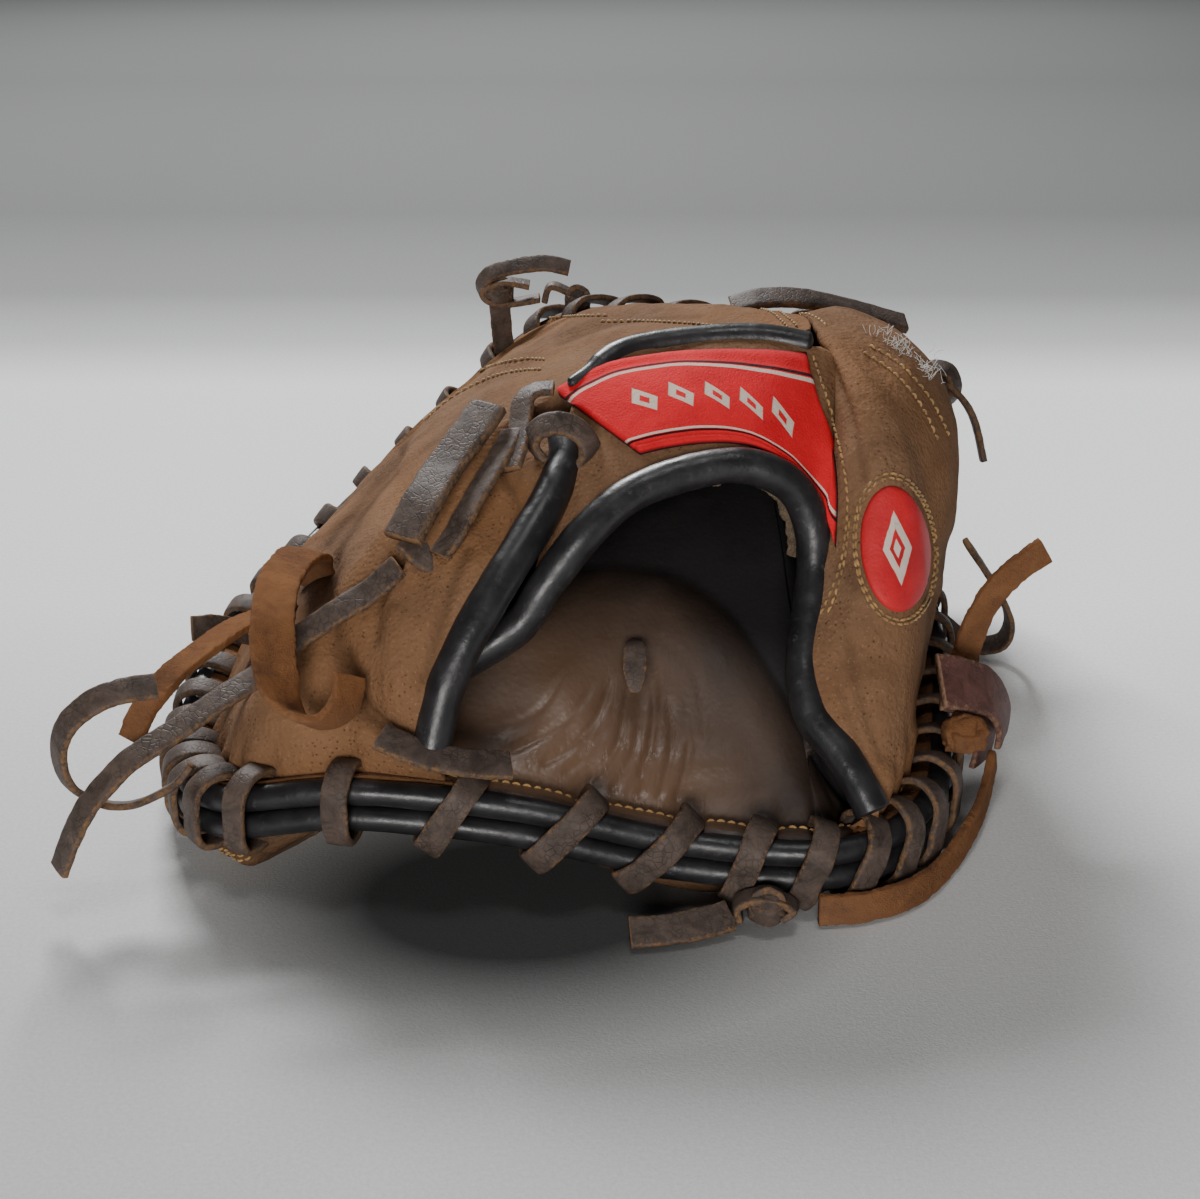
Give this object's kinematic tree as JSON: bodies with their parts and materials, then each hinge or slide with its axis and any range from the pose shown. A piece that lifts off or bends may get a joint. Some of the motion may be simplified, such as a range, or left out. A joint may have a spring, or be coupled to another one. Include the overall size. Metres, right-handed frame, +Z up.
{
  "type": "catcher's mitt",
  "caption": "Worn brown leather catcher's mitt for the left hand, lying palm down, with a laced rolled rim, padded palm, wrist strap with red label and loose laces.",
  "frame": {"origin": "on the surface the mitt lies on, under the middle of the mitt without its free lace ends", "axes": "+Z up away from that surface, +Y from the heel to the fingertips, +X towards the thumb side"},
  "size_m": [0.2559, 0.2488, 0.1194],
  "materials": {
    "palm_leather": "worn matte brown hide with an orange cast, dusty and creased",
    "back_leather": "matte mottled taupe-brown hide, lightly speckled",
    "lining_leather": "dark brown hide polished by the hand, half gloss, wrinkled",
    "roll_leather": "black half-gloss binding with grey scuffs",
    "lace": "dark brown rawhide lace, crackled, with tan raw edges",
    "suede": "orange-brown suede with a raised nap",
    "label_cloth": "red woven label with cream border lines",
    "patch_leather": "smooth red oval patch",
    "inner_cloth": "black lining"
  },
  "bodies": {
    "root": {"palm_pad": "palm_leather", "palm_lining": "lining_leather", "finger_back": "back_leather", "thumb_back": "back_leather", "wrist_strap": "back_leather", "strap_label": "label_cloth", "thumb_patch": "patch_leather", "finger_roll": "roll_leather", "strap_thumb_roll": "roll_leather", "strap_top_roll": "roll_leather", "rim_roll_upper": "roll_leather", "rim_roll_lower": "roll_leather", "web_roll": "roll_leather", "heel_lace": "lace", "thumb_rim_lace": "lace", "finger_rim_lace": "lace", "web_lace_thumb": "lace", "web_lace_finger": "lace", "web": "back_leather", "finger_lining": "inner_cloth", "suede_knot": "suede", "heel_lace_end": "lace", "heel_lace_loop": "lace", "suede_tie_loop": "suede", "suede_tie_end": "suede", "side_lace_stub": "lace", "strap_lace_fold": "lace", "strap_lace_end": "lace", "strap_lace_loop": "lace", "fingertip_knot": "lace", "fingertip_lace_end": "lace", "fingertip_lace_bow": "lace", "thumb_top_lace": "lace", "thumb_knot": "lace", "thumb_knot_end": "lace", "thumb_side_loop": "lace", "suede_thumb_end": "suede", "thumb_side_tab": "lace", "suede_heel_end": "suede", "heel_knot": "lace", "heel_knot_end": "lace", "heel_tab": "lace", "lining_lace": "lace"}
  },
  "joints": []
}
